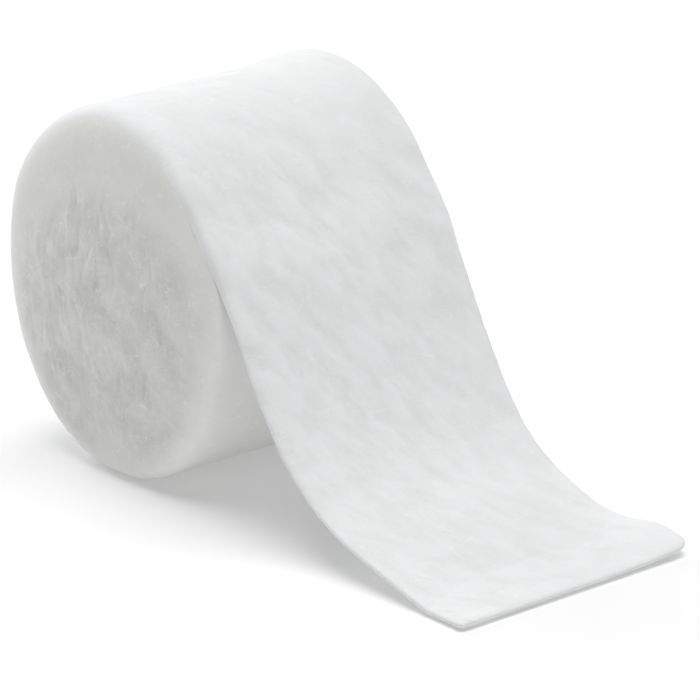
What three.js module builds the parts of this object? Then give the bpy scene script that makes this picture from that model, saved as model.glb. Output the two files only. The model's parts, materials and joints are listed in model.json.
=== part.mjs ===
// A roll of cast padding: one long strip of soft white wadding wound on itself, lying on its curved side,
// with its loose end coming over the top and down to the surface.
// Millimetres. +X is the way the strip unrolls, +Y is along the roll's axis and +Z is up. The origin is in
// the middle of the flat spot that the roll rests on.

import * as THREE from "three";

// The strip
const STRIP_WIDTH = 76;
const STRIP_THICKNESS = 2.2;
const CLEARANCE = 0.35;

// The wound roll: an upright oval that has sagged a little under its own weight
const ROLL_HALF_WIDTH = 45;
const ROLL_HALF_HEIGHT = 50.7;
const ROLL_CENTRE_X = 1.3;
const SAG = 0.6;
const RIM_RADIUS = 4;
const FACE_BULGE = 0.8;

// The last turn ends in a step at this angle above +X, and the loose end goes on from there
const STEP_ANGLE = 64;
const STEP_SLANT = 0.25;
const LAP_ANGLES = [57, 50, 43];

// The loose end's edges are drawn in where it lies on the roll, by up to so much, and reach the full width
// between two places down the free part
const LAP_DRAW = 1.25;
const FULL_WIDTH_FROM = { start: 36, end: 60 };

// The loose end's corners, as rounded in plan
const NEAR_CORNER = 2.5;
const FAR_CORNER = 7;

// Rows down the free part of the strip. x is how far out a row lies, and near, middle and far are the
// heights of its underside at the near edge, half way across and at the far edge. Where a height is below
// zero, the surface holds the strip up.
const FREE_ROWS = [
  { x: 44.4, near: 66.4, middle: 66.5, far: 66.6 },
  { x: 48.5, near: 58.9, middle: 59.2, far: 59.4 },
  { x: 53.0, near: 50.6, middle: 51, far: 51.3 },
  { x: 57.7, near: 42.2, middle: 42.6, far: 43 },
  { x: 62.5, near: 34.5, middle: 34.9, far: 35.3 },
  { x: 67.3, near: 27.9, middle: 28, far: 28.1 },
  { x: 72.0, near: 22.6, middle: 22.2, far: 21.8 },
  { x: 77.0, near: 17.9, middle: 17.1, far: 16.2 },
  { x: 82.5, near: 13.8, middle: 12.7, far: 11.6 },
  { x: 89.0, near: 10.3, middle: 9.1, far: 7.8 },
  { x: 96.5, near: 7.5, middle: 6.2, far: 4.8 },
  { x: 105.0, near: 5.1, middle: 3.4, far: 2.3 },
  { x: 113.5, near: 3, middle: 1.1, far: 1.1 },
  { x: 120.5, near: 1.2, middle: -0.6, far: 1.1 },
  { x: 127.0, near: -0.2, middle: -1, far: 1.5 },
  { x: 133.0, near: -0.6, middle: -1, far: 1.3 },
  { x: 138.9, near: -0.6, middle: -1, far: 0.9 },
];

// How finely the pieces are faceted
const OUTLINE_POINTS = 80;
const RIM_STEPS = 4;
const FACE_SCALES = [0.7, 0.35];
const ROWS_BETWEEN = 3;
const POINTS_ACROSS = 8;
const EDGE_STEPS = 4;
const CORNER_ROWS = [0.35, 0.6, 0.8, 0.92];

const FULL_TURN = 360;
const PITCH = STRIP_THICKNESS + CLEARANCE;
const HALF_WIDTH = STRIP_WIDTH / 2;
const BOTTOM_TURN = (FULL_TURN * 3) / 4 - STEP_ANGLE;
const ROLL_CENTRE_Z = ROLL_HALF_HEIGHT - (PITCH * BOTTOM_TURN) / FULL_TURN - SAG;

// The radius of the wound strip's outside, turned degrees back along the winding from the step
function woundRadius(turned) {
  const angle = THREE.MathUtils.degToRad(STEP_ANGLE + turned);
  const across = ROLL_HALF_HEIGHT * Math.cos(angle);
  const upright = ROLL_HALF_WIDTH * Math.sin(angle);
  const oval = (ROLL_HALF_WIDTH * ROLL_HALF_HEIGHT) / Math.hypot(across, upright);
  return oval - (PITCH * turned) / FULL_TURN;
}

// The point of the roll's section at a radius, turned degrees from the step, and not below the surface
function woundPoint(turned, radius) {
  const angle = THREE.MathUtils.degToRad(STEP_ANGLE + turned);
  const x = ROLL_CENTRE_X + radius * Math.cos(angle);
  const z = ROLL_CENTRE_Z + radius * Math.sin(angle);
  return { x, z: Math.max(z, 0) };
}

// A closed body through rings of equally many points, with a fan about a middle point over each end
function loft(rings, firstMiddle, lastMiddle) {
  const perRing = rings[0].length;
  const points = [...rings.flat(), firstMiddle, lastMiddle];
  const first = points.length - 2;
  const last = points.length - 1;
  const lastRing = (rings.length - 1) * perRing;
  const triangles = [];
  for (let point = 0; point < perRing; point += 1) {
    const next = (point + 1) % perRing;
    for (let ring = 0; ring < lastRing; ring += perRing) {
      triangles.push(ring + point, ring + perRing + point, ring + next);
      triangles.push(ring + next, ring + perRing + point, ring + perRing + next);
    }
    triangles.push(first, point, next);
    triangles.push(last, lastRing + next, lastRing + point);
  }
  const geometry = new THREE.BufferGeometry().setFromPoints(points);
  geometry.setIndex(triangles);
  geometry.computeVertexNormals();
  return geometry;
}

// The wound roll: its spiral outline, with soft rims and slightly bulging end faces
function woundRollGeometry() {
  const sectionAt = (inset, scale, y) => {
    const ring = [];
    for (let point = 0; point <= OUTLINE_POINTS; point += 1) {
      const share = point / OUTLINE_POINTS;
      const turned = share * (FULL_TURN - STEP_SLANT);
      const radius = (woundRadius(turned) - inset) * scale;
      const { x, z } = woundPoint(turned, radius);
      ring.push(new THREE.Vector3(x, y, z));
    }
    return ring;
  };
  const endRings = FACE_SCALES.map((scale) => {
    const y = HALF_WIDTH + FACE_BULGE * (1 - scale * scale);
    return { inset: RIM_RADIUS, scale, y };
  }).reverse();
  for (let step = RIM_STEPS; step >= 0; step -= 1) {
    const angle = (step / RIM_STEPS) * (Math.PI / 2);
    const inset = RIM_RADIUS * (1 - Math.cos(angle));
    endRings.push({ inset, scale: 1, y: HALF_WIDTH - RIM_RADIUS * (1 - Math.sin(angle)) });
  }
  const nearRings = endRings.map(({ inset, scale, y }) => sectionAt(inset, scale, -y));
  const farRings = endRings.map(({ inset, scale, y }) => sectionAt(inset, scale, y)).reverse();
  const faceY = HALF_WIDTH + FACE_BULGE;
  const nearMiddle = new THREE.Vector3(ROLL_CENTRE_X, -faceY, ROLL_CENTRE_Z);
  const farMiddle = new THREE.Vector3(ROLL_CENTRE_X, faceY, ROLL_CENTRE_Z);
  return loft([...nearRings, ...farRings], nearMiddle, farMiddle);
}

// The loose end's rows from the step on: over the last turn, and then down the free part
function looseRows() {
  const lapRow = (angle) => {
    const turned = angle - STEP_ANGLE;
    const { x, z } = woundPoint(turned, woundRadius(turned) - STRIP_THICKNESS);
    return { x, near: z, middle: z, far: z };
  };
  const stepGap = THREE.MathUtils.radToDeg(CLEARANCE / ROLL_HALF_WIDTH);
  return [STEP_ANGLE - STEP_SLANT - stepGap, ...LAP_ANGLES].map(lapRow).concat(FREE_ROWS);
}

// How far a corner of the given radius draws the edge in, at a distance from the cut end
function drawnIn(radius, distance) {
  const short = Math.max(radius - distance, 0);
  return radius - Math.sqrt(Math.max(radius * radius - short * short, 0));
}

// The rings' places along the rows: even steps, and closer ones where the corners are rounded
function ringShares(spans) {
  const shares = [];
  for (let step = 0; step <= (spans - 1) * ROWS_BETWEEN; step += 1) {
    shares.push(step / (spans * ROWS_BETWEEN));
  }
  return [...shares, ...CORNER_ROWS.map((part) => (spans - 1 + part) / spans), 1];
}

// One ring round the strip: flat below and above, and round at the edges. place(y, up) puts a point where
// it belongs, up above the strip's underside.
function stripRing(nearY, farY, place) {
  const edgeRadius = STRIP_THICKNESS / 2;
  const nearCentre = nearY + edgeRadius;
  const farCentre = farY - edgeRadius;
  const ring = [];
  const addFlat = (fromY, toY, up) => {
    for (let point = 1; point < POINTS_ACROSS; point += 1) {
      ring.push(place(THREE.MathUtils.lerp(fromY, toY, point / POINTS_ACROSS), up));
    }
  };
  const addEdge = (centreY, firstAngle) => {
    for (let step = 0; step <= EDGE_STEPS; step += 1) {
      const angle = firstAngle + (step / EDGE_STEPS) * Math.PI;
      const out = edgeRadius * Math.cos(angle);
      ring.push(place(centreY + out, edgeRadius + edgeRadius * Math.sin(angle)));
    }
  };
  addFlat(nearCentre, farCentre, 0);
  addEdge(farCentre, -Math.PI / 2);
  addFlat(farCentre, nearCentre, STRIP_THICKNESS);
  addEdge(nearCentre, Math.PI / 2);
  return ring;
}

// The loose end: the strip's section carried along its rows
function looseEndGeometry() {
  const rows = looseRows();
  const curveOf = (side) => {
    const points = rows.map((row) => new THREE.Vector3(row.x, 0, row[side]));
    return new THREE.CatmullRomCurve3(points, false, "catmullrom");
  };
  const nearCurve = curveOf("near");
  const middleCurve = curveOf("middle");
  const farCurve = curveOf("far");
  const endX = rows[rows.length - 1].x;
  const rings = ringShares(rows.length - 1).map((share) => {
    const { x, z: middle } = middleCurve.getPoint(share);
    const near = nearCurve.getPoint(share).z;
    const far = farCurve.getPoint(share).z;
    const along = middleCurve.getTangent(share);
    const { start, end } = FULL_WIDTH_FROM;
    const lapDraw = LAP_DRAW * (1 - THREE.MathUtils.smoothstep(x, start, end));
    const nearY = -HALF_WIDTH + lapDraw + drawnIn(NEAR_CORNER, endX - x);
    const farY = HALF_WIDTH - lapDraw - drawnIn(FAR_CORNER, endX - x);
    const tilt = (far - near) / 2;
    const cup = (far + near) / 2 - middle;
    return stripRing(nearY, farY, (y, up) => {
      const side = y / HALF_WIDTH;
      const under = Math.max(middle + side * tilt + side * side * cup, 0);
      return new THREE.Vector3(x - along.z * up, y, under + along.x * up);
    });
  });
  rings.reverse();
  const middleOf = (ring) => {
    const sum = ring.reduce((total, point) => total.add(point), new THREE.Vector3());
    return sum.divideScalar(ring.length);
  };
  return loft(rings, middleOf(rings[0]), middleOf(rings[rings.length - 1]));
}

// Soft white wadding, matt all over
function waddingMaterial() {
  return new THREE.MeshStandardMaterial({ color: 0xeeefee, roughness: 1, metalness: 0 });
}

const woundRoll = new THREE.Mesh(woundRollGeometry(), waddingMaterial());
woundRoll.name = "wound_roll";

const looseEnd = new THREE.Mesh(looseEndGeometry(), waddingMaterial());
looseEnd.name = "loose_end";

const roll = new THREE.Group();
roll.add(woundRoll, looseEnd);

export default roll;
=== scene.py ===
"""A roll of cast padding: soft white wadding, wound on itself, its loose end running down to the surface.

The strip is laid out flat and then wound, so a vertex is placed by how far along the strip it lies, how far
across it and how far up through it. Metres, +X the way the loose end runs, +Y along the roll's axis, +Z up.
"""

import bisect
import json
import math
from collections import namedtuple

import bmesh
import bpy
from bpy.props import FloatProperty, FloatVectorProperty, IntProperty, PointerProperty
from mathutils import Matrix, Vector, noise

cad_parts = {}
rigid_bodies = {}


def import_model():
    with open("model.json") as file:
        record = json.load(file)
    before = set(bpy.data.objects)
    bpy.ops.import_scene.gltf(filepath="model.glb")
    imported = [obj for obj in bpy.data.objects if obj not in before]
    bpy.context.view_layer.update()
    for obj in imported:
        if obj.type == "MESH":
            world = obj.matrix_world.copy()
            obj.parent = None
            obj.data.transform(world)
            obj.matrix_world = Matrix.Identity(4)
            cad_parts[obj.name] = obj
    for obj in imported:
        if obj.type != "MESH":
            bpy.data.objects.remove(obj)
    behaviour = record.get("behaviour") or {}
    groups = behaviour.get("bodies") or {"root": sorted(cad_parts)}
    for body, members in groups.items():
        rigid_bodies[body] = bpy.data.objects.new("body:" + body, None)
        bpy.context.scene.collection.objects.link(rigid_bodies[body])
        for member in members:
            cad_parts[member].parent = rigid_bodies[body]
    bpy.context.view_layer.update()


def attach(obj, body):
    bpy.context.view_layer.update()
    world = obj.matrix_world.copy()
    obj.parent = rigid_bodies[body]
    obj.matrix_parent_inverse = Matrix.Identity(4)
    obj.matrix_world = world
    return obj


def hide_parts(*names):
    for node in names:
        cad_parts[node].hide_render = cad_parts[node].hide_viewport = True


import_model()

bl_info = {
    "name": "Cast Padding Roll",
    "version": (1, 0, 0),
    "blender": (4, 5, 0),
    "location": "View3D > Sidebar > Padding",
    "description": "Models a roll of soft white cast padding with its loose end laid out",
    "category": "Add Mesh",
}

MM = 0.001
FULL_TURN = 360.0
BODY = "root"

# Edges sharper than so many degrees are shaded as sharp
SHARP_FROM = 50.0
# How high above the surface the first loose fibres lie, and from where they are as thick as elsewhere
CLEAR_OF_SURFACE = (3.0 * MM, 5.0 * MM)

# Rows down the free part of the strip, in millimetres: how far out a row lies, and the heights of its
# underside at the near edge, half way across and at the far edge. Where a height is below zero, the surface
# holds the strip up.
FREE_ROWS = (
    (44.4, 66.4, 66.5, 66.6),
    (48.5, 58.9, 59.2, 59.4),
    (53.0, 50.6, 51.0, 51.3),
    (57.7, 42.2, 42.6, 43.0),
    (62.5, 34.5, 34.9, 35.3),
    (67.3, 27.9, 28.0, 28.1),
    (72.0, 22.6, 22.2, 21.8),
    (77.0, 17.9, 17.1, 16.2),
    (82.5, 13.8, 12.7, 11.6),
    (89.0, 10.3, 9.1, 7.8),
    (96.5, 7.5, 6.2, 4.8),
    (105.0, 5.1, 3.4, 2.3),
    (113.5, 3.0, 1.1, 1.1),
    (120.5, 1.2, -0.6, 1.1),
    (127.0, -0.2, -1.0, 1.5),
    (133.0, -0.6, -1.0, 1.3),
    (138.9, -0.6, -1.0, 0.9),
)

# A row of the strip as it is wound. Its turned is how many degrees back along the winding it lies from the
# step where the last turn starts, and the lap's rows lie ahead of that step.
WoundRow = namedtuple("WoundRow", "x near middle far turned")
LAP_TURNED = (0.0, -7.0, -14.0, -21.0)


def length_property(name, description, default):
    """A size in metres, shown in the scene's unit of length."""
    return FloatProperty(name=name, description=description, default=default, min=0.0,
                         subtype="DISTANCE", unit="LENGTH", precision=5)


def angle_property(name, description, degrees):
    """An angle, given in degrees."""
    return FloatProperty(name=name, description=description, default=math.radians(degrees),
                         subtype="ANGLE", unit="ROTATION")


def number_property(name, description, default):
    """A plain number, from nought up."""
    return FloatProperty(name=name, description=description, default=default, min=0.0)


def colour_property(name, description, default):
    """A colour without alpha."""
    return FloatVectorProperty(name=name, description=description, default=default,
                               subtype="COLOR", size=3, min=0.0, max=1.0)


class PaddingSizes(bpy.types.PropertyGroup):
    """The strip and the roll that it is wound into."""

    strip_width: length_property("Strip width", "From edge to edge of the strip", 0.076)
    thickness: length_property("Thickness", "Through the loose strip", 0.0022)
    edge_softness: length_property("Edge softness", "How far in the strip's edges are rounded", 0.0017)
    pitch: length_property("Pitch", "How much the last turn adds to the roll", 0.00255)
    roll_half_width: length_property("Half width", "From the roll's middle to its side", 0.045)
    roll_half_height: length_property("Half height", "From the roll's middle to its top", 0.0507)
    centre_x: length_property("Centre", "How far out the roll's middle lies", 0.0013)
    sag: length_property("Sag", "How far the roll has flattened where it rests", 0.0006)
    step_angle: angle_property("Step angle", "Where the last turn starts, above +X", 64.0)
    near_rim: length_property("Near rim", "How far the near end face's rim is drawn in", 0.0078)
    near_rim_reach: length_property("Near rim reach", "How far in the near end face's rim reaches", 0.0125)
    far_rim: length_property("Far rim", "Radius of the far end face's rim", 0.0030)
    fullness: length_property("Fullness", "How far the roll's upper left stands out of its oval", 0.0014)
    cling: length_property("Cling", "How far the turn below follows the strip as it leaves", 0.0033)
    near_puff: length_property("Near puff", "How far the near end face stands out past the strip", 0.0015)
    end_lift: length_property("End lift", "How far the loose end's far edge stands up near its end", 0.0013)
    end_spread: length_property("End spread", "How much the loose end widens toward its far corner", 0.0012)
    far_flare: length_property("Far flare", "How far the last turn's far edge stands up", 0.0013)
    crown: length_property("Crown", "How far the loose end arches up between its edges", 0.0016)
    face_bulge: length_property("Face bulge", "How far the middle of an end face stands out", 0.0030)
    near_corner: length_property("Near corner", "Radius of the cut end's near corner", 0.0018)
    far_corner: length_property("Far corner", "Radius of the cut end's far corner", 0.0045)


class PaddingLooks(bpy.types.PropertyGroup):
    """The wadding's colours and how uneven it is."""

    colour: colour_property("Thick wadding", "The strip where it is thick", (0.915, 0.921, 0.928))
    thin_colour: colour_property("Thin wadding", "The strip where it is thin", (0.858, 0.864, 0.869))
    under_colour: colour_property("Turn below", "The turn below, where the strip has left it",
                                  (0.89, 0.892, 0.88))
    # The end faces' two felt colours are darker than the strip's: painted shade for the end faces, on top
    # of the felt's own thick and thin patches
    felt_and_shade_colour: colour_property("Thick felt", "The end faces where they are thick", (0.838, 0.838, 0.82))
    thin_felt_and_shade_colour: colour_property("Thin felt", "The end faces where they are thin",
                                      (0.732, 0.733, 0.711))
    fibre_colour: colour_property("Fibre colour", "Single fibres that stand out", (0.965, 0.965, 0.96))
    cloud_length: length_property("Cloud length", "Length of the strip's thick and thin patches", 0.011)
    cloud_width: length_property("Cloud width", "Width of the strip's thick and thin patches", 0.0055)
    cloud_depth: length_property("Cloud depth", "How uneven the strip's thickness is", 0.00028)
    grain: angle_property("Grain", "Which way the fibres lie, from along the strip", 31.0)
    crease_depth: length_property("Crease depth", "How deep the end faces' worn creases are", 0.0013)
    felt_depth: length_property("Felt depth", "How uneven the matted end faces are", 0.00046)
    seed: IntProperty(name="Seed", description="Changes where the strip is thick and thin", default=7)


class PaddingStage(bpy.types.PropertyGroup):
    """The floor, the lights and the camera."""

    azimuth: angle_property("Azimuth", "Where the camera stands, round from -Y", 49.42)
    elevation: angle_property("Elevation", "How far the camera looks down", 19.82)
    distance: length_property("Distance", "From the camera to its target", 1.3)
    target: FloatVectorProperty(name="Target", description="What the camera looks at", size=3,
                                default=(0.0528, 0.0, 0.0400), subtype="TRANSLATION", unit="LENGTH")
    view_width: length_property("View width", "How much the picture takes in at the target", 0.17857)
    top_power: number_property("Top light", "The soft light from straight above", 2.17)
    back_power: number_property("Back light", "The soft light from high behind the roll", 0.5)
    left_power: number_property("Left light", "The soft light from low beyond the roll's round side", 1.5)
    right_power: number_property("Right light", "The soft light from low beyond the loose end", 0.24)
    front_power: number_property("Front light", "The soft light from low by the camera", 0.2)
    floor_glow: number_property("Floor glow", "How much the floor lights itself, as a pale sweep", 0.2)


def settings():
    """The scene's three groups of settings."""
    scene = bpy.context.scene
    return scene.padding_sizes, scene.padding_looks, scene.padding_stage


def smooth_step(low, high, value):
    """Nought below low, one above high, and a smooth rise between."""
    share = min(max((value - low) / (high - low), 0.0), 1.0)
    return share * share * (3.0 - 2.0 * share)


def blend(first, second, share):
    """A value the given share of the way from first to second."""
    return first + (second - first) * share


class Winding:
    """Where the wound strip lies, from the roll's sizes. A place on the roll is how many degrees back along
    the winding it lies from the step, its turned, and how far below the roll's outside, its depth."""

    # Places round the winding, in degrees turned: where the outer sheet starts under the roll, where its
    # start shows as a step, where the inner turns go in under the lap, and where their seam is hidden
    SHEET_TURNED = 206.0
    SHEET_STEP = (204.4, 205.6)
    LAP_FROM = 300.0
    LAP_FULL = 342.0
    SEAM_TURNED = 346.0
    # Where the turn below swells out after the strip that leaves it, and where it falls back
    CLING_RISE = (276.0, 312.0)
    CLING_FALL = (312.0, 338.0)
    # The near rim is sharpest at an angle above +X, by so much, and over so many degrees
    SHARP_ANGLE = 26.0
    SHARP_WIDTH = 38.0
    SHARPENING = 0.75
    # The roll is fullest at an angle above +X, and over so many degrees
    FULL_ANGLE = 148.0
    FULL_WIDTH = 22.0
    # A rim's curve is a circle at a power of 2, and squarer above it
    RIM_POWER = 2.6
    # Over how much depth the near face's puff evens out all round
    PUFF_EVENS_OUT = (0.0, 0.024)
    # How felted an end face is at least, and how that rises inward. Places lower down and further to +X
    # count as further in, by so much a metre. The same mask brings in the darker felt colours, so this lean
    # is also painted shade: darker low down and toward +X, lighter toward the top.
    LEAST_FELT_AND_SHADE = 0.22
    FELT_AND_SHADE = (0.05, 0.4)
    FELT_AND_SHADE_DOWN = 6.0
    FELT_AND_SHADE_OUT = 2.0
    # The end faces' noise, in waves a millimetre: their creases, which bend round the middle, where these
    # are worn in, and the lumps. Each face takes it so many millimetres to its own side of nought.
    FACE_APART = 20.0
    CREASE_WAVES = Vector((0.36, 0.05, 1.0))
    CREASE_BEND = 0.3
    CREASE_TOP, CREASE_FALL = 0.5, 2.0
    WORN_WAVES = Vector((0.16, 0.07, 1.0))
    WORN_SHIFT = Vector((0.0, 2.0, 0.0))
    WORN = (-0.05, 0.35)
    LUMP_WAVES = Vector((0.34, 0.2, 1.0))
    LUMP_FALL, LUMP_STEP, LUMP_LAYERS = 0.8, 2.1, 6
    # Where the creases come in and fade out, as shares of the way in to the middle
    CREASES_RISE = (0.22, 0.5)
    CREASES_FALL = (0.8, 0.98)

    def __init__(self, sizes, looks):
        self.sizes, self.looks = sizes, looks
        self.half_width = sizes.strip_width / 2
        self.step_degrees = math.degrees(sizes.step_angle)
        bottom_turn = FULL_TURN * 3 / 4 - self.step_degrees
        drop = sizes.pitch * bottom_turn / FULL_TURN
        self.centre_z = sizes.roll_half_height - drop - sizes.sag

    def radius(self, turned):
        """The outside of the roll, turned degrees back along the winding from the step."""
        sizes = self.sizes
        angle = math.radians(self.step_degrees + turned)
        across = sizes.roll_half_height * math.cos(angle)
        upright = sizes.roll_half_width * math.sin(angle)
        oval = sizes.roll_half_width * sizes.roll_half_height / math.hypot(across, upright)
        past = (math.degrees(angle) - self.FULL_ANGLE) / self.FULL_WIDTH
        return oval - sizes.pitch * turned / FULL_TURN + sizes.fullness * math.exp(-past * past)

    def place(self, turned, depth):
        """The point of the section that lies depth below the roll's outside, as (x, z)."""
        angle = math.radians(self.step_degrees + turned)
        radius = self.radius(turned) - depth
        x = self.sizes.centre_x + radius * math.cos(angle)
        z = self.centre_z + radius * math.sin(angle)
        return x, max(z, min(max(depth, 0.0), self.centre_z))

    def lap_depth(self, turned):
        """How much deeper a turn lies for being under the lap, or on its way there."""
        return self.sizes.pitch * smooth_step(self.LAP_FROM, self.LAP_FULL, turned)

    def under_depth(self, turned):
        """How deep the outside of the inner turns lies: one thickness, where the last turn covers them, and
        a little proud where they come up to the lap."""
        sizes = self.sizes
        proud = (sizes.pitch - sizes.thickness) * smooth_step(self.LAP_FROM, self.SEAM_TURNED, turned)
        covered = 1.0 - smooth_step(*self.SHEET_STEP, turned)
        return sizes.thickness * covered - proud

    def softness(self, turned):
        """How soft the near rim is, from nought to one: it is sharpest by the lap."""
        past = (self.step_degrees + turned - self.SHARP_ANGLE + FULL_TURN / 2) % FULL_TURN - FULL_TURN / 2
        return 1.0 - self.SHARPENING * math.exp(-(past / self.SHARP_WIDTH) ** 2)

    def cling(self, turned):
        """How far the turn below swells out after the strip that leaves it."""
        follows = smooth_step(*self.CLING_RISE, turned) * (1.0 - smooth_step(*self.CLING_FALL, turned))
        return self.sizes.cling * follows

    def rim_reach(self, turned, side):
        """How far in from the outside the rim of an end face reaches."""
        return self.sizes.near_rim_reach * self.softness(turned) if side < 0.0 else self.sizes.far_rim

    def rim(self, turned, buried, side):
        """How far an end face is drawn in at a depth below all that covers it: over a soft rim, and less
        than nothing inside the near one, where that face is puffed out."""
        sizes = self.sizes
        outward = min(max(1.0 - buried / self.rim_reach(turned, side), 0.0), 1.0)
        drawn_in = 1.0 - (1.0 - outward ** self.RIM_POWER) ** (1.0 / self.RIM_POWER)
        if side > 0.0:
            return sizes.far_rim * drawn_in
        softness = self.softness(turned)
        puffed = blend(softness, 1.0, smooth_step(*self.PUFF_EVENS_OUT, buried))
        return sizes.near_rim * softness * drawn_in - sizes.near_puff * puffed

    def face(self, turned, depth, side):
        """How far out an end face lies from the middle of the roll: side is -1 near and 1 far."""
        sizes = self.sizes
        x, z = self.place(turned, depth)
        outward = math.hypot(x - sizes.centre_x, z - self.centre_z) / sizes.roll_half_width
        bulge = sizes.face_bulge * smooth_step(0.0, 1.0, 1.0 - outward)
        drawn_in = self.rim(turned, depth + self.lap_depth(turned), side)
        return self.half_width - drawn_in + bulge + self.relief(side, x, z)

    def felted(self, x, z):
        """How felted an end face is at a place, and how much painted shade its colour gets there: little by
        its top, and most low in its middle.
        """
        away, height = x - self.sizes.centre_x, z - self.centre_z
        inward = 1.0 - math.hypot(away, height) / self.sizes.roll_half_width
        inward += self.FELT_AND_SHADE_OUT * away - self.FELT_AND_SHADE_DOWN * height
        return blend(self.LEAST_FELT_AND_SHADE, 1.0, smooth_step(*self.FELT_AND_SHADE, inward))

    def relief(self, side, x, z):
        """The felted turns' unevenness on an end face: worn upright creases where the turns have buckled,
        and soft lumps, both faint near the outside."""
        sizes, looks = self.sizes, self.looks
        seat = Vector((x - sizes.centre_x, z - self.centre_z, side * self.FACE_APART * MM)) / MM
        inward = 1.0 - math.hypot(seat.x, seat.y) * MM / sizes.roll_half_width
        ring = math.copysign(math.hypot(seat.x, self.CREASE_BEND * seat.y), seat.x)
        crossing = abs(noise.noise(Vector((ring, seat.y, seat.z)) * self.CREASE_WAVES))
        creases = self.CREASE_TOP - self.CREASE_FALL * crossing
        worn = smooth_step(*self.WORN, noise.noise(seat * self.WORN_WAVES + self.WORN_SHIFT))
        worn *= smooth_step(*self.CREASES_RISE, inward) * (1.0 - smooth_step(*self.CREASES_FALL, inward))
        lumps = noise.fractal(seat * self.LUMP_WAVES, self.LUMP_FALL, self.LUMP_STEP, self.LUMP_LAYERS)
        return looks.crease_depth * creases * worn + looks.felt_depth * lumps * self.felted(x, z)


def catmull_rom(before, start, end, after, share):
    """A value on the smooth curve through four evenly spaced values, between the middle two."""
    square, cube = share * share, share ** 3
    return 0.5 * (2 * start + (end - before) * share
                  + (2 * before - 5 * start + 4 * end - after) * square
                  + (3 * start - before - 3 * end + after) * cube)


class StripLine:
    """The underside of the last turn and the loose end, by length along it."""

    # How closely the line's rows lie: in degrees on the roll, and between two rows past the step
    WOUND_STEP = 0.5
    SPAN_STEPS = 12
    # Lengths along the line are looked up to so many decimals of a metre
    DECIMALS = 8

    def __init__(self, winding):
        self.winding = winding
        wound_rows = round(winding.SHEET_TURNED / self.WOUND_STEP)
        self.rows = [self.wound_row(self.WOUND_STEP * (wound_rows - row)) for row in range(wound_rows)]
        self.rows += self.free_rows()
        self.lengths = [0.0]
        for before, row in zip(self.rows, self.rows[1:]):
            step = math.hypot(row.x - before.x, row.middle - before.middle)
            self.lengths.append(self.lengths[-1] + step)
        self.length = self.lengths[-1]
        self.free_from = self.lengths[wound_rows]
        self.found = {}

    def wound_row(self, turned):
        """A row on the roll, one thickness below its outside."""
        x, z = self.winding.place(turned, self.winding.sizes.thickness)
        return WoundRow(x, z, z, z, turned)

    def free_rows(self):
        """The rows from the step on, on one smooth curve through the lap and the free rows."""
        knots = [self.wound_row(turned) for turned in LAP_TURNED]
        knots += [WoundRow(*(value * MM for value in row), LAP_TURNED[-1]) for row in FREE_ROWS]
        first = WoundRow(*(2 * a - b for a, b in zip(knots[0], knots[1])))
        last = WoundRow(*(2 * a - b for a, b in zip(knots[-1], knots[-2])))
        knots = [first, *knots, last]
        rows = []
        for span in range(1, len(knots) - 2):
            for step in range(self.SPAN_STEPS):
                share = step / self.SPAN_STEPS
                four = knots[span - 1:span + 3]
                rows.append(WoundRow(*(catmull_rom(*values, share) for values in zip(*four))))
        rows.append(knots[-2])
        return rows

    def at(self, along):
        """The row at a length, with the line's direction there."""
        along = round(along, self.DECIMALS)
        if along not in self.found:
            self.found[along] = self.find(along)
        return self.found[along]

    def find(self, along):
        """Works out the row and the direction at a length."""
        rows, lengths = self.rows, self.lengths
        low = min(max(bisect.bisect_right(lengths, along) - 1, 0), len(rows) - 2)
        share = (along - lengths[low]) / (lengths[low + 1] - lengths[low])
        row = WoundRow(*(blend(a, b, share) for a, b in zip(rows[low], rows[low + 1])))
        back, ahead = rows[max(low - 1, 0)], rows[min(low + 2, len(rows) - 1)]
        return row, Vector((ahead.x - back.x, ahead.middle - back.middle)).normalized()


def new_object(name, data):
    """An object in the scene, at the origin."""
    placed = bpy.data.objects.new(name, data)
    bpy.context.scene.collection.objects.link(placed)
    return placed


def new_mesh(name, mesh_edit):
    """A mesh from a bmesh, which is freed."""
    mesh = bpy.data.meshes.new(name)
    mesh_edit.to_mesh(mesh)
    mesh_edit.free()
    return mesh


def new_piece(name, mesh, material):
    """A piece of the roll, in one material that it gets by name."""
    mesh.materials.clear()
    mesh.materials.append(bpy.data.materials[material])
    piece = new_object(name, mesh)
    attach(piece, BODY)
    return piece


def smooth_piece(name, mesh_edit, material):
    """A piece of the roll from a bmesh, shaded smooth."""
    mesh = new_mesh(name, mesh_edit)
    mesh.shade_smooth()
    mesh.set_sharp_from_angle(angle=math.radians(SHARP_FROM))
    return new_piece(name, mesh, material)


def spin_edges(mesh_edit, edges, **how):
    """Carries edges along or round, leaving faces behind, and gives the edges where they end."""
    spun = bmesh.ops.spin(mesh_edit, geom=edges, use_duplicate=False, **how)
    return [item for item in spun["geom_last"] if isinstance(item, bmesh.types.BMEdge)]


def close_and_face_out(mesh_edit):
    """Fills what is open, and turns every face outwards. Spin leaves the faces in another order each run,
    so they are sorted by their vertices, and the fibres then fall in the same places each run."""
    edges = [edge for edge in mesh_edit.edges if edge.is_boundary]
    filled = bmesh.ops.holes_fill(mesh_edit, edges=edges, sides=0)
    bmesh.ops.triangulate(mesh_edit, faces=filled["faces"])
    bmesh.ops.recalc_face_normals(mesh_edit, faces=mesh_edit.faces)
    mesh_edit.verts.index_update()
    total = len(mesh_edit.verts)

    def order(face):
        first, second, third = sorted(vert.index for vert in face.verts)[:3]
        return (first * total + second) * total + third

    mesh_edit.faces.sort(key=order)


def node_group(name, kind, inputs, outputs):
    """A node group with its sockets, and its input and output nodes."""
    group = bpy.data.node_groups.new(name, kind)
    for direction, sockets in (("INPUT", inputs), ("OUTPUT", outputs)):
        for socket, socket_kind in sockets.items():
            group.interface.new_socket(socket, in_out=direction, socket_type=socket_kind)
    return group, group.nodes.new("NodeGroupInput"), group.nodes.new("NodeGroupOutput")


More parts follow.
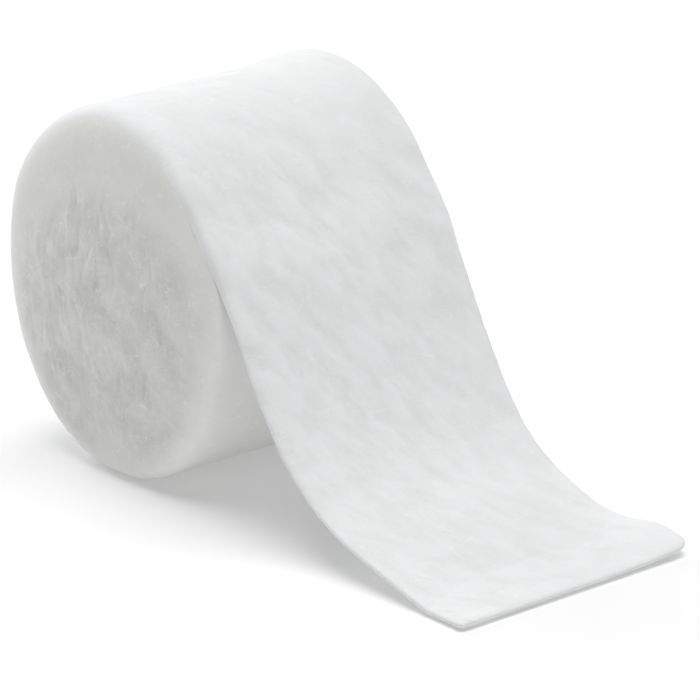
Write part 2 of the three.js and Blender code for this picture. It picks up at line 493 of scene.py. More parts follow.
def set_inputs(tree, node, **values):
    """Sets or links a node's inputs, by name, or by number as _0, _1 and so on."""
    for name, value in values.items():
        socket = node.inputs[int(name[1:])] if name[1:].isdigit() else node.inputs[name.replace("_", " ")]
        if isinstance(value, bpy.types.NodeSocket):
            tree.links.new(value, socket)
        else:
            socket.default_value = value


def new_node(tree, kind, settings=(), **values):
    """A node with its settings and its inputs."""
    node = tree.nodes.new(kind)
    for name, value in dict(settings).items():
        setattr(node, name, value)
    set_inputs(tree, node, **values)
    return node


def new_material(name, **values):
    """A material whose shader has the given inputs, with its node tree and that shader."""
    material = bpy.data.materials.new(name)
    material.use_nodes = True
    tree = material.node_tree
    shader = tree.nodes["Principled BSDF"]
    set_inputs(tree, shader, **values)
    return material, tree, shader


def attribute_value(tree, name):
    """A value that the mesh's vertices hold."""
    return new_node(tree, "ShaderNodeAttribute", {"attribute_name": name}).outputs["Fac"]


def math_value(tree, operation, *values):
    """What an operation on plain values and other nodes' values comes to."""
    numbered = {f"_{number}": value for number, value in enumerate(values)}
    return new_node(tree, "ShaderNodeMath", {"operation": operation}, **numbered).outputs["Value"]


def random_value(tree, low, high, seed):
    """A number from low to high, drawn for each point."""
    return new_node(tree, "FunctionNodeRandomValue", _2=low, _3=high, Seed=seed).outputs[1]


def noise_value(tree, **values):
    """Noise, from nought to one."""
    return new_node(tree, "ShaderNodeTexNoise", **values).outputs["Fac"]


def range_value(tree, value, low, high, rise="LINEAR"):
    """Nought up to low, one from high, and a rise between."""
    return new_node(tree, "ShaderNodeMapRange", {"interpolation_type": rise}, Value=value, From_Min=low,
                    From_Max=high).outputs["Result"]


def colour_mix(tree, share, first, second):
    """Two colours blended, each a plain colour or another node's."""
    ends = [end if isinstance(end, bpy.types.NodeSocket) else (*end, 1.0) for end in (first, second)]
    mixed = new_node(tree, "ShaderNodeMix", {"data_type": "RGBA"}, _0=share, _6=ends[0], _7=ends[1])
    return mixed.outputs[2]


def group_mask(tree, name, **values):
    """The mask that a node group makes."""
    return new_node(tree, "ShaderNodeGroup", {"node_tree": bpy.data.node_groups[name]},
                    **values).outputs["Mask"]


def clouds_group(looks):
    """Thick and thin patches, as a mask from nought where the wadding is thin to one."""
    group, start, end = node_group("soft_clouds", "ShaderNodeTree", {"Vector": "NodeSocketVector"},
                                   {"Mask": "NodeSocketFloat"})
    patches = noise_value(group, Vector=start.outputs["Vector"], Scale=1.0 / looks.cloud_length,
                          Detail=6.0, Roughness=0.62, Distortion=0.4)
    set_inputs(group, end, Mask=range_value(group, patches, 0.3, 0.66, "SMOOTHSTEP"))


def fibres_group():
    """Fine curved fibres that lie matted over each other, as a mask. A layer's fibres are the lines where a
    stretched noise passes its middle value, and another noise breaks them up."""
    ways, tilt, shift, aside = (20.0, 75.0, 130.0), 15.0, 0.013, 0.007
    stretch, middle_value, half_line, gaps_scale, gaps = 0.4, 0.5, 0.012, 310.0, (0.5, 0.6)
    group, start, end = node_group("matted_fibres", "ShaderNodeTree",
                                   {"Vector": "NodeSocketVector", "Scale": "NodeSocketFloat"},
                                   {"Mask": "NodeSocketFloat"})
    matted = None
    for layer, way in enumerate(ways):
        turned = new_node(group, "ShaderNodeMapping", Vector=start.outputs["Vector"],
                          Rotation=(math.radians(tilt * layer), 0.0, math.radians(way)),
                          Location=(shift * layer, aside, 0.0), Scale=(1.0, stretch, 1.0)).outputs["Vector"]
        hills = noise_value(group, Vector=turned, Scale=start.outputs["Scale"], Detail=1.0, Roughness=0.4,
                            Distortion=1.2)
        line = math_value(group, "COMPARE", hills, middle_value, half_line)
        broken = range_value(group, noise_value(group, Vector=turned, Scale=gaps_scale, Detail=0.0), *gaps)
        fibres = math_value(group, "MULTIPLY", line, broken)
        matted = fibres if matted is None else math_value(group, "MAXIMUM", matted, fibres)
    set_inputs(group, end, Mask=matted)


def fibre_material(name, dark, light):
    """Loose fibres, some lighter than others."""
    _, tree, shader = new_material(name, Roughness=0.8, Specular_IOR_Level=0.2)
    place = new_node(tree, "ShaderNodeTexCoord").outputs["Object"]
    shades = noise_value(tree, Vector=place, Scale=600.0, Detail=1.0)
    set_inputs(tree, shader, Base_Color=colour_mix(tree, shades, dark, light))


def strip_colour(tree, looks, clouds):
    """The strip's colour, lighter where its wadding is thick, with its finer clouds where it is fluffy, and
    how strong its bump is."""
    fine_clouds, thin, thick, bump = 0.3, -0.38, 0.52, 1.0
    fine = math_value(tree, "MULTIPLY", clouds, attribute_value(tree, "fluff"))
    uneven = math_value(tree, "MULTIPLY_ADD", fine, fine_clouds, attribute_value(tree, "cloud"))
    thickness = range_value(tree, uneven, thin, thick, "SMOOTHSTEP")
    return colour_mix(tree, thickness, looks.thin_colour, looks.colour), bump


def turns_colour(tree, looks, clouds):
    """The turns' colour, from the turn below's to the end faces' cloudy felt, and how strong their bump is.
    The felted mask that brings the felt in paints shade: darker low down and toward +X, lighter toward the
    top."""
    all_felt_and_shade = 0.7
    # The felt colours come in by the felted mask: painted shade, darker low down and toward +X and lighter
    # toward the top
    felted = attribute_value(tree, "felted")
    felt = colour_mix(tree, clouds, looks.thin_felt_and_shade_colour, looks.felt_and_shade_colour)
    return colour_mix(tree, range_value(tree, felted, 0.0, all_felt_and_shade), looks.under_colour, felt), felted


# The two waddings: whether one lies on the flat strip's map, how fine and how strong its fibres show, and
# how deep its bump is
Wadding = namedtuple("Wadding", "name flat fibre_scale fibre_share bump_depth")
WADDINGS = (
    Wadding("strip_wadding", True, 230.0, 0.42, 0.11 * MM),
    Wadding("felted_wadding", False, 300.0, 0.6, 0.4 * MM),
)


def wadding_material(looks, wadding):
    """Matt wadding with soft clouds and matted fibres, on the flat strip's own map or where it lies."""
    cloud_height = 0.8
    _, tree, shader = new_material(wadding.name, Roughness=1.0, Specular_IOR_Level=0.15, Sheen_Weight=0.1,
                                   Sheen_Roughness=0.6)
    if wadding.flat:
        place = new_node(tree, "ShaderNodeUVMap", {"uv_map": "flat"}).outputs["UV"]
    else:
        place = new_node(tree, "ShaderNodeTexCoord").outputs["Object"]
    clouds = group_mask(tree, "soft_clouds", Vector=place)
    fibres = group_mask(tree, "matted_fibres", Vector=place, Scale=wadding.fibre_scale)
    base, strength = (strip_colour if wadding.flat else turns_colour)(tree, looks, clouds)
    share = math_value(tree, "MULTIPLY", fibres, wadding.fibre_share)
    height = math_value(tree, "MULTIPLY_ADD", clouds, cloud_height, share)
    height = math_value(tree, "MULTIPLY", height, strength)
    bump = new_node(tree, "ShaderNodeBump", Height=height, Strength=0.6, Distance=wadding.bump_depth)
    set_inputs(tree, shader, Normal=bump.outputs["Normal"],
               Base_Color=colour_mix(tree, share, base, looks.fibre_colour))


class PADDING_OT_strip(bpy.types.Operator):
    """Lay the strip out flat, wind its last turn, and bring the loose end down to the surface"""

    bl_idname = "padding.strip"
    bl_label = "Last Turn and Loose End"

    ROW_STEP = 0.8 * MM
    TOP_COLUMNS = 108
    UNDER_COLUMNS = 24
    EDGE_STEPS = 10
    END_LENGTH = 8.0 * MM
    END_ROWS = 26
    # How high up the cut edges stand out furthest, and how much further they are drawn in below that
    LIP = 0.7
    UNDERCUT = 1.9
    # How nearly the cut end comes together, as the least square of its height's share
    END_CLOSING = 0.02
    # Stretches by length past the step, in metres: where the edges come free of the end faces' shape, where
    # the far one turns wavy, where the strip arches up, and where the far edge rises, falls back, and comes
    # to rise in its whole thickness
    NEAR_FREED = (0.030, 0.058)
    FAR_FREED = (-0.060, -0.020)
    FAR_WAVY = (0.0, 0.030)
    ARCH_RISE = (0.020, 0.050)
    FLARE_RISE = (-0.075, -0.045)
    FLARE_FALL = (0.030, 0.090)
    FLARE_WHOLE = (0.0, 0.020)
    # Stretches by length from the cut end, in metres: where the arch and the spread fade, where the loose
    # fibres start, and where the far edge's hump lies
    ARCH_END = (0.020, 0.050)
    SPREAD_END = (0.0, 0.060)
    FIBRES_END = (0.5 * MM, 4.0 * MM)
    HUMP_PLACE = 0.013
    HUMP_LENGTH = 0.011
    # Where across the strip, as a share of its half width, the flare and the hump rise
    FLARE_ACROSS = (0.45, 1.0)
    HUMP_ACROSS = (0.1, 1.0)
    # How much of its spread the cut end has at its near corner
    NEAR_SPREAD = 0.35
    # The edges' waves: how many a millimetre, how far to its own side each edge takes its noise, how deep
    EdgeWave = namedtuple("EdgeWave", "per_mm apart depth")
    EDGE_WAVES = (EdgeWave(0.05, 7.0, 0.35 * MM), EdgeWave(0.3, 5.0, 0.15 * MM))
    # No fibres lie below a share of the thickness before the strip is so far off the roll. The cut edges
    # have few, and the top is what lies above a share of the thickness.
    BARE_BELOW = 0.3
    BARE_UNTIL = 0.018
    TOP_FROM = 0.99
    FEW_FIBRES = 0.4

    def execute(self, context):
        sizes, looks, _ = settings()
        line = StripLine(Winding(sizes, looks))
        mesh_edit = self.flat_strip(line.length, sizes)
        fluff = mesh_edit.verts.layers.float.new("fluff")
        clouds = mesh_edit.verts.layers.float.new("cloud")
        grain = mesh_edit.verts.layers.float_vector.new("grain")
        for vertex in mesh_edit.verts:
            along, across, up = vertex.co
            vertex.co, vertex[grain], vertex[clouds] = self.wound(line, along, across, up)
            fluffy = self.fluff(line, along, vertex.co, up / sizes.thickness)
            vertex[fluff] = fluffy * smooth_step(*self.FIBRES_END, line.length - along)
        piece = smooth_piece("last_turn_and_loose_end", mesh_edit, "strip_wadding")
        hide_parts("loose_end", "wound_roll")
        return {"FINISHED"}

    def flat_strip(self, length, sizes):
        """The strip laid out flat and closed, as (along, share of the half width across, up)."""
        mesh_edit = bmesh.new()
        ring = self.flat_ring(sizes.thickness)
        verts = [mesh_edit.verts.new((0.0, across, up)) for across, up in ring]
        edges = [mesh_edit.edges.new(pair) for pair in zip(verts, verts[1:] + verts[:1])]
        long_part = length - self.END_LENGTH
        for part, rows in ((long_part, round(long_part / self.ROW_STEP)), (self.END_LENGTH, self.END_ROWS)):
            edges = spin_edges(mesh_edit, edges, cent=(0.0, 0.0, 0.0), axis=(1.0, 0.0, 0.0), angle=0.0,
                               dvec=(part / rows, 0.0, 0.0), steps=rows)
        close_and_face_out(mesh_edit)
        flat = mesh_edit.loops.layers.uv.new("flat")
        for face in mesh_edit.faces:
            for loop in face.loops:
                along, across, up = loop.vert.co
                round_edge = up if abs(across) == 1.0 else 0.0
                loop[flat].uv = (along, across * sizes.strip_width / 2 + round_edge)
        return mesh_edit

    def flat_ring(self, thickness):
        """Points round the flat strip's section, as (share of the half width, height)."""
        ring = []
        for column in range(1, self.UNDER_COLUMNS):
            ring.append((-1.0 + 2.0 * column / self.UNDER_COLUMNS, 0.0))
        for side, first in ((1.0, -90.0), (-1.0, 90.0)):
            for step in range(self.EDGE_STEPS + 1):
                angle = math.radians(first + 180.0 * step / self.EDGE_STEPS)
                ring.append((side, thickness * (0.5 + 0.5 * math.sin(angle))))
            if side > 0.0:
                for column in range(1, self.TOP_COLUMNS):
                    ring.append((1.0 - 2.0 * column / self.TOP_COLUMNS, thickness))
        return ring

    def wound(self, line, along, across, up):
        """Where a point of the flat strip lies on the finished roll, which way its fibres run there, and
        how thick its wadding is."""
        sizes, looks = line.winding.sizes, line.winding.looks
        row, direction = line.at(along)
        gone, to_end = along - line.free_from, line.length - along
        through = up / sizes.thickness
        over_lip = through > self.LIP
        level = (through - self.LIP) / (1.0 - self.LIP if over_lip else self.LIP)
        softness = sizes.edge_softness * (1.0 if over_lip else self.UNDERCUT)
        drawn_in = softness * (1.0 - math.sqrt(max(1.0 - level ** 2, 0.0)))
        y = across * self.edge(line, along, 1.0 if across > 0.0 else -1.0, up, drawn_in)
        share = y / line.winding.half_width
        tilt = (row.far - row.near) / 2
        cup = (row.far + row.near) / 2 - row.middle
        under = row.middle + share * tilt + share * share * cup
        if gone > 0.0:
            under = max(under, 0.0)
        cloud = strip_cloud(looks, along, y) * cloud_weight(gone, share)
        height = up * (1.0 + cloud * looks.cloud_depth / sizes.thickness)
        soft_end = min(to_end / softness, 1.0)
        closing = math.sqrt(max(1.0 - (1.0 - soft_end) ** 2, self.END_CLOSING))
        height = blend(sizes.thickness * self.LIP, height, closing)
        height += self.lift(sizes, gone, to_end, share, through)
        x = row.x - direction.y * height
        z = under + direction.x * height
        fibre_way = Vector((direction.x * math.cos(looks.grain), math.sin(looks.grain),
                            direction.y * math.cos(looks.grain)))
        return Vector((x, y, max(z, 0.0))), fibre_way, cloud

    def edge(self, line, along, side, up, drawn_in):
        """How far from the strip's middle line an edge lies at a height: on the roll where the end face is,
        and wavy, rounded at the corner and spread where it is free."""
        winding, sizes = line.winding, line.winding.sizes
        gone, to_end = along - line.free_from, line.length - along
        near = side < 0.0
        freed = smooth_step(*(self.NEAR_FREED if near else self.FAR_FREED), gone)
        half = free_half = winding.half_width - drawn_in
        if freed < 1.0:
            row, _ = line.at(along)
            half = blend(winding.face(row.turned, sizes.thickness - up, side), free_half, freed)
        wavy = freed if near else smooth_step(*self.FAR_WAVY, gone)
        for number, wave in enumerate(self.EDGE_WAVES, 1):
            seat = Vector((along / MM * wave.per_mm, side * wave.apart, number))
            half += noise.noise(seat) * wave.depth * wavy
        spread = sizes.end_spread * (1.0 - smooth_step(*self.SPREAD_END, to_end))
        half -= self.corner_cut(sizes.near_corner if near else sizes.far_corner, to_end)
        return half + spread * (self.NEAR_SPREAD if near else 1.0)

    def fluff(self, line, along, place, through):
        """How thick the loose fibres lie at a place of the strip: none where it rests on something."""
        gone = along - line.free_from
        if through < self.BARE_BELOW and gone < self.BARE_UNTIL:
            return 0.0
        weight = self.FEW_FIBRES
        if through >= self.TOP_FROM:
            weight = blend(weight, 1.0, cloud_weight(gone, place.y / line.winding.half_width))
        if through < self.TOP_FROM or gone < 0.0:
            weight *= smooth_step(*CLEAR_OF_SURFACE, place.z)
        return weight

    def lift(self, sizes, gone, to_end, share, through):
        """How far the strip stands up off its line: its arch between the edges, the last turn's far edge,
        and the far edge near the cut end."""
        arch = smooth_step(*self.ARCH_RISE, gone) * smooth_step(*self.ARCH_END, to_end)
        arch *= 1.0 - share * share
        flare = smooth_step(*self.FLARE_RISE, gone) * (1.0 - smooth_step(*self.FLARE_FALL, gone))
        flare *= smooth_step(*self.FLARE_ACROSS, share)
        flare *= blend(through, 1.0, smooth_step(*self.FLARE_WHOLE, gone))
        hump = math.exp(-((to_end - self.HUMP_PLACE) / self.HUMP_LENGTH) ** 2)
        hump *= smooth_step(*self.HUMP_ACROSS, share)
        return sizes.crown * arch + sizes.far_flare * flare + sizes.end_lift * hump

    def corner_cut(self, radius, to_end):
        """How far a rounded corner draws the edge in, at a distance from the cut end."""
        short = max(radius - to_end, 0.0)
        return radius - math.sqrt(max(radius * radius - short * short, 0.0))


def cloud_weight(gone, share):
    """How much of the strip's unevenness shows at a place: little over the roll, most down the slope, and
    less again on the surface and toward the far edge."""
    on_roll, less = 0.3, 0.65
    leaving, landing, far_side = (-0.015, 0.030), (0.070, 0.110), (-0.3, 0.6)
    weight = blend(on_roll, 1.0, smooth_step(*leaving, gone))
    weight *= blend(1.0, less, smooth_step(*landing, gone))
    return weight * blend(1.0, less, smooth_step(*far_side, share))


def strip_cloud(looks, along, across):
    """How thick the wadding is at a point of the flat strip, from about -1 where it is thin to 1."""
    fall, step, layers = 0.85, 2.2, 5
    turn = looks.grain
    forward = (along * math.cos(turn) + across * math.sin(turn)) / looks.cloud_length
    sideways = (across * math.cos(turn) - along * math.sin(turn)) / looks.cloud_width
    return noise.fractal(Vector((forward, sideways, looks.seed)), fall, step, layers)


class PADDING_OT_turns(bpy.types.Operator):
    """Wind the turns under the last one, with their worn creases showing on both end faces"""

    bl_idname = "padding.turns"
    bl_label = "Wound Turns"

    TURN_STEPS = 330
    OUTSIDE_ROWS = 30
    SHEET_ROWS = 5
    RIM_ROWS = 9
    FACE_ROWS = 82
    # How much of their fibres the end faces have where they aren't felted
    FEW_FIBRES = 0.12
    # How much of the strip's unevenness the outside has, and how squarely that ends toward the edges
    OUTSIDE_CLOUDS = 0.45
    CLOUDS_SQUARENESS = 4
    # Over how much depth the outside's swelling after the strip fades
    CLING_DEPTH = (0.0, 0.014)
    MERGE_DISTANCE = 0.005 * MM

    def execute(self, context):
        sizes, looks, _ = settings()
        winding = Winding(sizes, looks)
        rows = 2 * (self.OUTSIDE_ROWS + self.SHEET_ROWS + self.RIM_ROWS + self.FACE_ROWS)
        mesh_edit = bmesh.new()
        bmesh.ops.create_grid(mesh_edit, x_segments=self.TURN_STEPS, y_segments=rows, size=1.0)
        fluffs = [mesh_edit.verts.layers.float.new(name) for name in ("far_fluff", "near_fluff")]
        # How felted the turns are, which also sets the end faces' painted shade
        felted = mesh_edit.verts.layers.float.new("felted")
        grain = mesh_edit.verts.layers.float_vector.new("grain")
        for vertex in mesh_edit.verts:
            turned = winding.SEAM_TURNED - FULL_TURN * (1.0 - vertex.co.x) / 2.0
            row = round(rows * vertex.co.y / 2.0)
            side = 1.0 if row > 0 else -1.0
            vertex.co, vertex[felted] = self.wound(winding, turned, abs(row), side)
            angle = math.radians(winding.step_degrees + turned)
            vertex[grain] = (-math.sin(angle), 0.0, math.cos(angle))
            bare = abs(row) < self.OUTSIDE_ROWS + self.SHEET_ROWS and turned < winding.SHEET_TURNED
            fluff = 0.0 if bare else smooth_step(*CLEAR_OF_SURFACE, vertex.co.z)
            fluff *= blend(self.FEW_FIBRES, 1.0, vertex[felted] ** 2)
            vertex[fluffs[0]], vertex[fluffs[1]] = (fluff, 0.0) if side > 0.0 else (0.0, fluff)
        bmesh.ops.remove_doubles(mesh_edit, verts=mesh_edit.verts, dist=self.MERGE_DISTANCE)
        bmesh.ops.recalc_face_normals(mesh_edit, faces=mesh_edit.faces)
        piece = smooth_piece("wound_turns", mesh_edit, "felted_wadding")
        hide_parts("wound_roll")
        return {"FINISHED"}

    def wound(self, winding, turned, row, side):
        """Where a vertex of the turns lies, and how felted they are there, which also sets how much painted
        shade their colour gets. Rows run from the middle of the outside over a rim, and in over an end face
        to the roll's middle."""
        sizes, looks = winding.sizes, winding.looks
        lap = winding.lap_depth(turned)
        reach = winding.rim_reach(turned, side)
        to_sheet = row - self.OUTSIDE_ROWS
        to_rim = to_sheet - self.SHEET_ROWS
        to_face = to_rim - self.RIM_ROWS
        if to_face > 0:
            buried = blend(reach, winding.radius(turned) + lap, to_face / self.FACE_ROWS)
        elif to_rim > 0:
            buried = blend(sizes.thickness, reach, to_rim / self.RIM_ROWS)
        else:
            buried = sizes.thickness * (max(to_sheet, 0) / self.SHEET_ROWS) ** 2
        depth = max(buried - lap, winding.under_depth(turned))
        y = winding.face(turned, buried - lap, side)
        if to_sheet <= 0:
            y *= row / self.OUTSIDE_ROWS
            along = -math.radians(turned - winding.SHEET_TURNED) * sizes.roll_half_width
            cloud = strip_cloud(looks, along, side * y) * self.OUTSIDE_CLOUDS
            depth -= cloud * looks.cloud_depth * (1.0 - (row / self.OUTSIDE_ROWS) ** self.CLOUDS_SQUARENESS)
        depth -= winding.cling(turned) * (1.0 - smooth_step(*self.CLING_DEPTH, buried))
        x, z = winding.place(turned, depth)
        felted = winding.felted(x, z) * smooth_step(0.0, reach, buried)
        return Vector((x, side * y, z)), felted


# The loose fibres of each piece: which vertex values say how thick they lie, how many there are to a square
# centimetre, how many degrees they lie off the grain, and how long they are
FibreSet = namedtuple("FibreSet", "name material base fluff per_square_cm spread length seed")
FIBRE_SETS = (
    FibreSet("strip_fibres", "loose_fibre", "last_turn_and_loose_end", "fluff", 9.0, 60.0, 1.2, 3),
    FibreSet("near_fibres", "felt_fibre", "wound_turns", "near_fluff", 16.0, 70.0, 0.6, 4),
    FibreSet("far_fibres", "felt_fibre", "wound_turns", "far_fluff", 16.0, 70.0, 0.6, 5),
)


class PADDING_OT_fibres(bpy.types.Operator):
    """Scatter loose curved fibres over the strip and the end faces"""

    bl_idname = "padding.fibres"
    bl_label = "Loose Fibres"

    SIDES = 3
    THICKNESS = 0.045 * MM
    FLATNESS = 0.18
    # How far a fibre's ends are sunk in, and how much of that its middle stands out
    SUNK = 0.03 * MM
    MIDDLE_OUT = 0.9
    # The shortest and the longest fibre, as shares of a set's length
    SHORTEST, LONGEST = 0.55, 1.15
    # What sets the draws of angle and length apart from those of place
    ANGLE_SEED, LENGTH_SEED = 10, 20
    SQUARE_CM_PER_SQUARE_M = 10000.0
    # A fibre's bends, each as how far it turns, in degrees, and the radius of the bend in millimetres
    BENDS = (
        ((50.0, 2.6), (-35.0, 3.2)),
        ((85.0, 1.5), (-25.0, 2.4)),
        ((30.0, 5.0), (25.0, 3.0)),
        ((-60.0, 1.6), (70.0, 1.8)),
        ((120.0, 0.9), (40.0, 2.2)),
    )
    BEND_STEPS = 3

    def execute(self, context):
        _, looks, _ = settings()
        strands = bpy.data.collections.new("strands")
        for number, bends in enumerate(self.BENDS):
            strands.objects.link(self.strand(f"strand_{number}", bends))
        for fibre_set in FIBRE_SETS:
            self.scatter(context, strands, fibre_set)
        for strand in list(strands.objects):
            bpy.data.meshes.remove(strand.data)
        bpy.data.collections.remove(strands)
        return {"FINISHED"}

    def strand(self, name, bends):
        """One fibre, lying along X on the surface, its middle a little above it."""
        mesh_edit = bmesh.new()
        turn = Matrix.Rotation(math.pi / 2, 4, "Y")
        bmesh.ops.create_circle(mesh_edit, segments=self.SIDES, radius=self.THICKNESS, cap_ends=False,
                                matrix=turn)
        edges = mesh_edit.edges[:]
        heading, place = 0.0, Vector()
        for degrees, radius in bends:
            angle = math.radians(degrees)
            aside = Vector((-math.sin(heading), math.cos(heading), 0.0)) * math.copysign(radius * MM, angle)
            edges = spin_edges(mesh_edit, edges, cent=place + aside, axis=(0.0, 0.0, 1.0), angle=angle,
                               steps=self.BEND_STEPS)
            place = place + aside + Matrix.Rotation(angle, 3, "Z") @ -aside
            heading += angle
        close_and_face_out(mesh_edit)
        middle = place / 2
        for vertex in mesh_edit.verts:
            vertex.co -= middle
            near_end = min((vertex.co.xy.length / middle.length) ** 2, 1.0)
            out = blend(self.MIDDLE_OUT, -1.0, near_end) * self.SUNK
            vertex.co.z = vertex.co.z * self.FLATNESS + out
        return bpy.data.objects.new(name, new_mesh(name, mesh_edit))

    def scatter_tree(self, strands, fibre_set):
        """Geometry nodes that set strands on a mesh, as thick as its fluff says and along its grain."""
        geometry = {"Geometry": "NodeSocketGeometry"}
        tree, start, end = node_group(fibre_set.name, "GeometryNodeTree", geometry, geometry)
        fluff, grain = [new_node(tree, "GeometryNodeInputNamedAttribute", {"data_type": kind}, Name=name)
                        for name, kind in ((fibre_set.fluff, "FLOAT"), ("grain", "FLOAT_VECTOR"))]
        density = math_value(tree, "MULTIPLY", fluff.outputs["Attribute"],
                             fibre_set.per_square_cm * self.SQUARE_CM_PER_SQUARE_M)
        points = new_node(tree, "GeometryNodeDistributePointsOnFaces", Mesh=start.outputs["Geometry"],
                          Density=density, Seed=fibre_set.seed)
        along = new_node(tree, "FunctionNodeAlignRotationToVector", {"axis": "X", "pivot_axis": "Z"},
                         Rotation=points.outputs["Rotation"], Vector=grain.outputs["Attribute"])
        spread = math.radians(fibre_set.spread)
        angle = random_value(tree, -spread, spread, fibre_set.seed + self.ANGLE_SEED)
        turn = new_node(tree, "FunctionNodeAxisAngleToRotation", Axis=(0.0, 0.0, 1.0), Angle=angle)
        turned = new_node(tree, "FunctionNodeRotateRotation", {"rotation_space": "LOCAL"},
                          Rotation=along.outputs["Rotation"], Rotate_By=turn.outputs["Rotation"])
        size = random_value(tree, self.SHORTEST * fibre_set.length, self.LONGEST * fibre_set.length,
                            fibre_set.seed + self.LENGTH_SEED)
        kinds = new_node(tree, "GeometryNodeCollectionInfo", Collection=strands, Separate_Children=True,
                         Reset_Children=True)
        placed = new_node(tree, "GeometryNodeInstanceOnPoints", Points=points.outputs["Points"],
                          Instance=kinds.outputs["Instances"], Pick_Instance=True,
                          Rotation=turned.outputs["Rotation"], Scale=size)
        realized = new_node(tree, "GeometryNodeRealizeInstances", Geometry=placed.outputs["Instances"])
        set_inputs(tree, end, Geometry=realized.outputs["Geometry"])
        return tree

    def scatter(self, context, strands, fibre_set):
        """Sets strands on a piece, and makes them a piece of their own."""
        host = new_object("host", bpy.data.objects[fibre_set.base].data)
        host.modifiers.new("scatter", "NODES").node_group = self.scatter_tree(strands, fibre_set)
        graph = context.evaluated_depsgraph_get()
        mesh = bpy.data.meshes.new_from_object(host.evaluated_get(graph), depsgraph=graph)
        bpy.data.objects.remove(host)
        mesh.name = fibre_set.name
        done_with = ("grain", "cloud", fibre_set.fluff)
        for attribute in [item for item in mesh.attributes if item.name in done_with]:
            mesh.attributes.remove(attribute)
        new_piece(fibre_set.name, mesh, fibre_set.material)


class PADDING_OT_materials(bpy.types.Operator):
    """Make the materials of the strip, the turns and the loose fibres"""

    bl_idname = "padding.materials"
    bl_label = "Wadding Materials"

    def execute(self, context):
        _, looks, _ = settings()
        clouds_group(looks)
        fibres_group()
        for wadding in WADDINGS:
            wadding_material(looks, wadding)
        fibre_material("loose_fibre", looks.colour, looks.fibre_colour)
        # The end faces' fibres run from the felt colour, with its painted shade, to the turn below's colour
        fibre_material("felt_fibre", looks.felt_and_shade_colour, looks.under_colour)
        return {"FINISHED"}


def seen_from(around, up):
    """The direction to a place in the sky, by its angles round from +X and up, and how an object turns
    that has its back to it."""
    toward = Vector((math.cos(around) * math.cos(up), math.sin(around) * math.cos(up), math.sin(up)))
    return toward, toward.to_track_quat("Z", "Y").to_matrix().to_4x4()


# The soft lights: each lights from one part of the sky, in degrees round from +X and degrees up, at the
# power that a setting gives
Lamp = namedtuple("Lamp", "name around height power")
LAMPS = (
    Lamp("top_light", 0.0, 90.0, "top_power"),
    Lamp("back_light", 90.0, 50.0, "back_power"),
    Lamp("left_light", 180.0, 22.0, "left_power"),
    Lamp("right_light", 0.0, 22.0, "right_power"),
    Lamp("front_light", 315.0, 22.0, "front_power"),
)


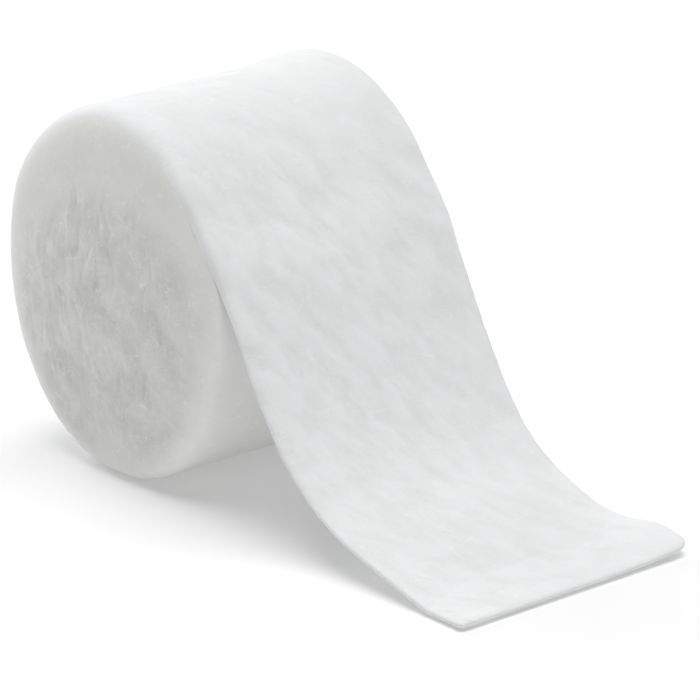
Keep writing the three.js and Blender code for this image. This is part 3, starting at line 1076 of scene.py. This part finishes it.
class PADDING_OT_stage(bpy.types.Operator):
    """Set out the pale floor, the soft lights and the camera"""

    bl_idname = "padding.stage"
    bl_label = "Stage"

    # How many degrees of the sky each light fills
    LIGHT_WIDTH = 50.0
    FLOOR_SIZE = 12.0
    FLOOR_COLOUR = (0.8, 0.8, 0.8, 1.0)
    GLOW_COLOUR = (1.0, 1.0, 1.0, 1.0)
    # How far below the roll the floor lies, so that the two don't flicker
    FLOOR_GAP = 0.05 * MM
    SENSOR_WIDTH = 36.0
    FURTHEST_VIEW = 100.0

    def execute(self, context):
        _, _, stage = settings()
        self.camera(context.scene, stage)
        self.floor(stage.floor_glow)
        world = bpy.data.worlds.new("dark_room")
        world.use_nodes = True
        world.node_tree.nodes["Background"].inputs["Strength"].default_value = 0.0
        context.scene.world = world
        for lamp in LAMPS:
            self.sky_lamp(lamp, getattr(stage, lamp.power))
        context.scene.view_settings.view_transform = "Standard"
        return {"FINISHED"}

    def floor(self, glow):
        """The pale floor, matt and with an even glow."""
        mesh_edit = bmesh.new()
        bmesh.ops.create_grid(mesh_edit, x_segments=1, y_segments=1, size=self.FLOOR_SIZE / 2)
        bmesh.ops.translate(mesh_edit, verts=mesh_edit.verts, vec=(0.0, 0.0, -self.FLOOR_GAP))
        mesh = new_mesh("floor", mesh_edit)
        material, _, _ = new_material("pale_floor", Base_Color=self.FLOOR_COLOUR, Roughness=1.0,
                                      Specular_IOR_Level=0.0, Emission_Color=self.GLOW_COLOUR,
                                      Emission_Strength=glow)
        mesh.materials.append(material)
        new_object("floor", mesh)

    def sky_lamp(self, lamp, power):
        """A soft light from one part of the sky."""
        light = bpy.data.lights.new(lamp.name, "SUN")
        light.angle = math.radians(self.LIGHT_WIDTH)
        light.energy = power
        _, facing = seen_from(math.radians(lamp.around), math.radians(lamp.height))
        new_object(lamp.name, light).matrix_world = facing

    def camera(self, scene, stage):
        """The camera at the photograph's viewing angle."""
        back, facing = seen_from(stage.azimuth - math.pi / 2, stage.elevation)
        lens = bpy.data.cameras.new("camera")
        lens.sensor_width = self.SENSOR_WIDTH
        lens.lens = lens.sensor_width * stage.distance / stage.view_width
        lens.clip_end = self.FURTHEST_VIEW
        place = Vector(stage.target) + back * stage.distance
        scene.camera = new_object("camera", lens)
        scene.camera.matrix_world = Matrix.Translation(place) @ facing


class PADDING_PT_panel(bpy.types.Panel):
    """The padding roll's parts and settings"""

    bl_idname = "PADDING_PT_panel"
    bl_label = "Cast Padding Roll"
    bl_space_type = "VIEW_3D"
    bl_region_type = "UI"
    bl_category = "Padding"

    def draw(self, context):
        column = self.layout.column(align=True)
        for operator in OPERATORS:
            column.operator(operator.bl_idname)
        for group in settings():
            box = self.layout.box()
            for name in group.__annotations__:
                box.prop(group, name)


OPERATORS = (PADDING_OT_stage, PADDING_OT_materials, PADDING_OT_turns, PADDING_OT_strip, PADDING_OT_fibres)
GROUPS = {"padding_sizes": PaddingSizes, "padding_looks": PaddingLooks, "padding_stage": PaddingStage}
CLASSES = (*GROUPS.values(), *OPERATORS, PADDING_PT_panel)


def register():
    """Adds the classes, and the settings to the scene."""
    for cls in CLASSES:
        bpy.utils.register_class(cls)
    for name, group in GROUPS.items():
        setattr(bpy.types.Scene, name, PointerProperty(type=group))


def unregister():
    """Takes away what register adds."""
    for name in GROUPS:
        delattr(bpy.types.Scene, name)
    for cls in reversed(CLASSES):
        bpy.utils.unregister_class(cls)


def main():
    """Sets the stage and makes the roll."""
    register()
    bpy.ops.padding.stage()
    bpy.ops.padding.materials()
    bpy.ops.padding.turns()
    bpy.ops.padding.strip()
    bpy.ops.padding.fibres()


if __name__ == "__main__":
    main()
